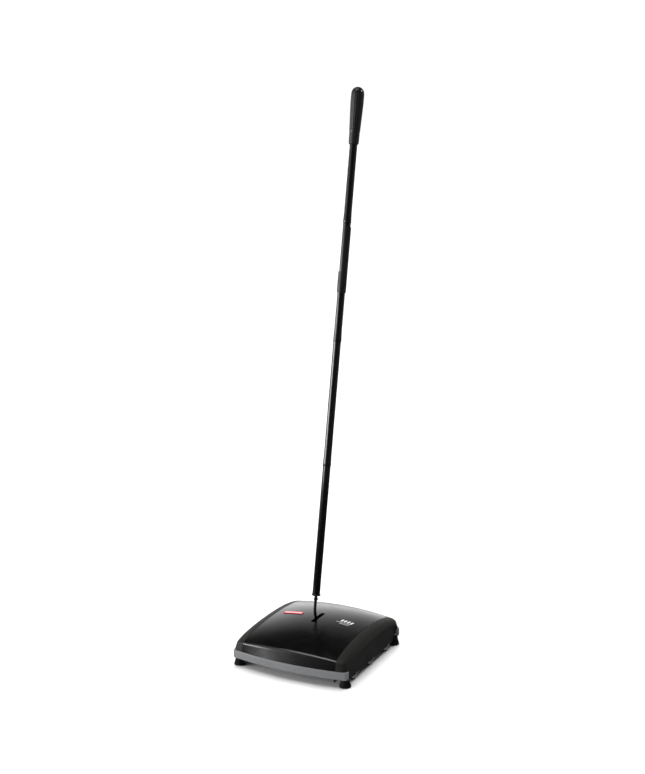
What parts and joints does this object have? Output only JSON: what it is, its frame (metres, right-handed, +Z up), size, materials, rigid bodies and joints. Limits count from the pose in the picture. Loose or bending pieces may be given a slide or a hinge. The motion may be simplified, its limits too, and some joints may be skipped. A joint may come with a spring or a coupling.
{
  "type": "carpet sweeper",
  "caption": "Manual carpet sweeper: low domed head on wheels with two sweeping rolls, corner brushes and two dust pans, pushed by a long sectional tilting handle with a ribbed grip.",
  "frame": {"origin": "bottom centre of the whole sweeper's box, on the floor, handle in its parked lean", "axes": "+Z up, the front of the head faces -Y, +X is to the right seen from the front, and the handle leans towards +Y"},
  "size_m": [0.2554, 0.3246, 1.1177],
  "materials": {
    "cover_gloss": "glossy moulded black plastic",
    "badge_red": "satin printed red plate",
    "shoulder_satin": "finely textured charcoal plastic",
    "skirt_matte": "matte charcoal plastic",
    "bumper_grey": "matte grey rubber",
    "chassis_plastic": "matte moulded black plastic",
    "zinc_steel": "bright zinc-plated steel",
    "wheel_plastic": "satin grey plastic",
    "tyre_rubber": "matte black rubber",
    "bristle_nylon": "black nylon bristle",
    "blade_rubber": "matte black rubber",
    "fitting_plastic": "satin black plastic",
    "handle_enamel": "glossy black enamel over steel",
    "grip_plastic": "satin black ribbed plastic"
  },
  "bodies": {
    "head": {"top_cover": "cover_gloss", "handle_plate": "cover_gloss", "badge": "badge_red", "shoulder_right": "shoulder_satin", "shoulder_left": "shoulder_satin", "side_skirt_right": "skirt_matte", "side_skirt_left": "skirt_matte", "front_bumper": "bumper_grey", "rear_bumper": "bumper_grey", "chassis": "chassis_plastic", "cover_screw_1": "zinc_steel", "cover_screw_2": "zinc_steel", "cover_screw_3": "zinc_steel", "cover_screw_4": "zinc_steel", "front_door_pin": "zinc_steel", "rear_door_pin": "zinc_steel", "front_door_spring": "zinc_steel", "rear_door_spring": "zinc_steel", "pivot_bracket": "zinc_steel", "pivot_pin": "zinc_steel", "wheel_axle_front_left": "zinc_steel", "wheel_axle_front_right": "zinc_steel", "wheel_axle_middle_left": "zinc_steel", "wheel_axle_middle_right": "zinc_steel", "wheel_axle_rear_left": "zinc_steel", "wheel_axle_rear_right": "zinc_steel"},
    "handle": {"handle_rod": "handle_enamel", "end_plug": "fitting_plastic", "tube_bottom": "handle_enamel", "tube_lower": "handle_enamel", "tube_upper": "handle_enamel", "tube_top": "handle_enamel", "tube_sleeve": "fitting_plastic", "grip": "grip_plastic"},
    "front_pan": {"front_pan_door": "chassis_plastic"},
    "rear_pan": {"rear_pan_door": "chassis_plastic"},
    "front_roll": {"front_roll_core": "chassis_plastic", "front_roll_bristles": "bristle_nylon"},
    "rear_roll": {"rear_roll_core": "chassis_plastic", "rear_roll_blades": "blade_rubber"},
    "wheel_front_left": {"wheel_hub_front_left": "wheel_plastic", "wheel_tyre_front_left": "tyre_rubber"},
    "wheel_front_right": {"wheel_hub_front_right": "wheel_plastic", "wheel_tyre_front_right": "tyre_rubber"},
    "wheel_middle_left": {"wheel_hub_middle_left": "wheel_plastic", "wheel_tyre_middle_left": "tyre_rubber"},
    "wheel_middle_right": {"wheel_hub_middle_right": "wheel_plastic", "wheel_tyre_middle_right": "tyre_rubber"},
    "wheel_rear_left": {"wheel_hub_rear_left": "wheel_plastic", "wheel_tyre_rear_left": "tyre_rubber"},
    "wheel_rear_right": {"wheel_hub_rear_right": "wheel_plastic", "wheel_tyre_rear_right": "tyre_rubber"},
    "corner_brush_front_left": {"corner_brush_hub_front_left": "fitting_plastic", "corner_brush_tufts_front_left": "bristle_nylon"},
    "corner_brush_front_right": {"corner_brush_hub_front_right": "fitting_plastic", "corner_brush_tufts_front_right": "bristle_nylon"},
    "corner_brush_rear_left": {"corner_brush_hub_rear_left": "fitting_plastic", "corner_brush_tufts_rear_left": "bristle_nylon"},
    "corner_brush_rear_right": {"corner_brush_hub_rear_right": "fitting_plastic", "corner_brush_tufts_rear_right": "bristle_nylon"}
  },
  "joints": [
    {"name": "handle_tilt", "type": "hinge", "parent": "head", "child": "handle", "pos_m": [0, -0.02278, 0.054], "axis": [-1, 0, 0], "range_deg": [-20, 60]},
    {"name": "front_pan_hinge", "type": "hinge", "parent": "head", "child": "front_pan", "pos_m": [0, -0.13778, 0.013], "axis": [-1, 0, 0], "range_deg": [0, 80], "stiffness_Nm_per_rad": 0.02, "springref_deg": -34.38},
    {"name": "rear_pan_hinge", "type": "hinge", "parent": "head", "child": "rear_pan", "pos_m": [0, 0.09222, 0.013], "axis": [1, 0, 0], "range_deg": [0, 80], "stiffness_Nm_per_rad": 0.02, "springref_deg": -34.38},
    {"name": "front_roll_spin", "type": "hinge", "parent": "head", "child": "front_roll", "pos_m": [0, -0.05998, 0.024], "axis": [1, 0, 0], "continuous": true},
    {"name": "rear_roll_spin", "type": "hinge", "parent": "head", "child": "rear_roll", "pos_m": [0, 0.01442, 0.024], "axis": [1, 0, 0], "continuous": true},
    {"name": "wheel_spin_front_left", "type": "hinge", "parent": "head", "child": "wheel_front_left", "pos_m": [-0.112, -0.09718, 0.024], "axis": [1, 0, 0], "continuous": true},
    {"name": "wheel_spin_front_right", "type": "hinge", "parent": "head", "child": "wheel_front_right", "pos_m": [0.112, -0.09718, 0.024], "axis": [1, 0, 0], "continuous": true},
    {"name": "wheel_spin_middle_left", "type": "hinge", "parent": "head", "child": "wheel_middle_left", "pos_m": [-0.112, -0.02278, 0.024], "axis": [1, 0, 0], "continuous": true},
    {"name": "wheel_spin_middle_right", "type": "hinge", "parent": "head", "child": "wheel_middle_right", "pos_m": [0.112, -0.02278, 0.024], "axis": [1, 0, 0], "continuous": true},
    {"name": "wheel_spin_rear_left", "type": "hinge", "parent": "head", "child": "wheel_rear_left", "pos_m": [-0.112, 0.05162, 0.024], "axis": [1, 0, 0], "continuous": true},
    {"name": "wheel_spin_rear_right", "type": "hinge", "parent": "head", "child": "wheel_rear_right", "pos_m": [0.112, 0.05162, 0.024], "axis": [1, 0, 0], "continuous": true},
    {"name": "corner_brush_spin_front_left", "type": "hinge", "parent": "head", "child": "corner_brush_front_left", "pos_m": [-0.1157, -0.13628, 0.006], "axis": [0, 0, 1], "continuous": true},
    {"name": "corner_brush_spin_front_right", "type": "hinge", "parent": "head", "child": "corner_brush_front_right", "pos_m": [0.1157, -0.13628, 0.006], "axis": [0, 0, 1], "continuous": true},
    {"name": "corner_brush_spin_rear_left", "type": "hinge", "parent": "head", "child": "corner_brush_rear_left", "pos_m": [-0.1157, 0.09072, 0.006], "axis": [0, 0, 1], "continuous": true},
    {"name": "corner_brush_spin_rear_right", "type": "hinge", "parent": "head", "child": "corner_brush_rear_right", "pos_m": [0.1157, 0.09072, 0.006], "axis": [0, 0, 1], "continuous": true}
  ],
  "couplings": [
    {"joint": "rear_roll_spin", "follows": "front_roll_spin", "ratio": 1},
    {"joint": "wheel_spin_front_left", "follows": "front_roll_spin", "ratio": -0.5375},
    {"joint": "wheel_spin_front_right", "follows": "front_roll_spin", "ratio": -0.5375},
    {"joint": "wheel_spin_middle_left", "follows": "front_roll_spin", "ratio": -0.5375},
    {"joint": "wheel_spin_middle_right", "follows": "front_roll_spin", "ratio": -0.5375},
    {"joint": "wheel_spin_rear_left", "follows": "front_roll_spin", "ratio": -0.5375},
    {"joint": "wheel_spin_rear_right", "follows": "front_roll_spin", "ratio": -0.5375}
  ]
}
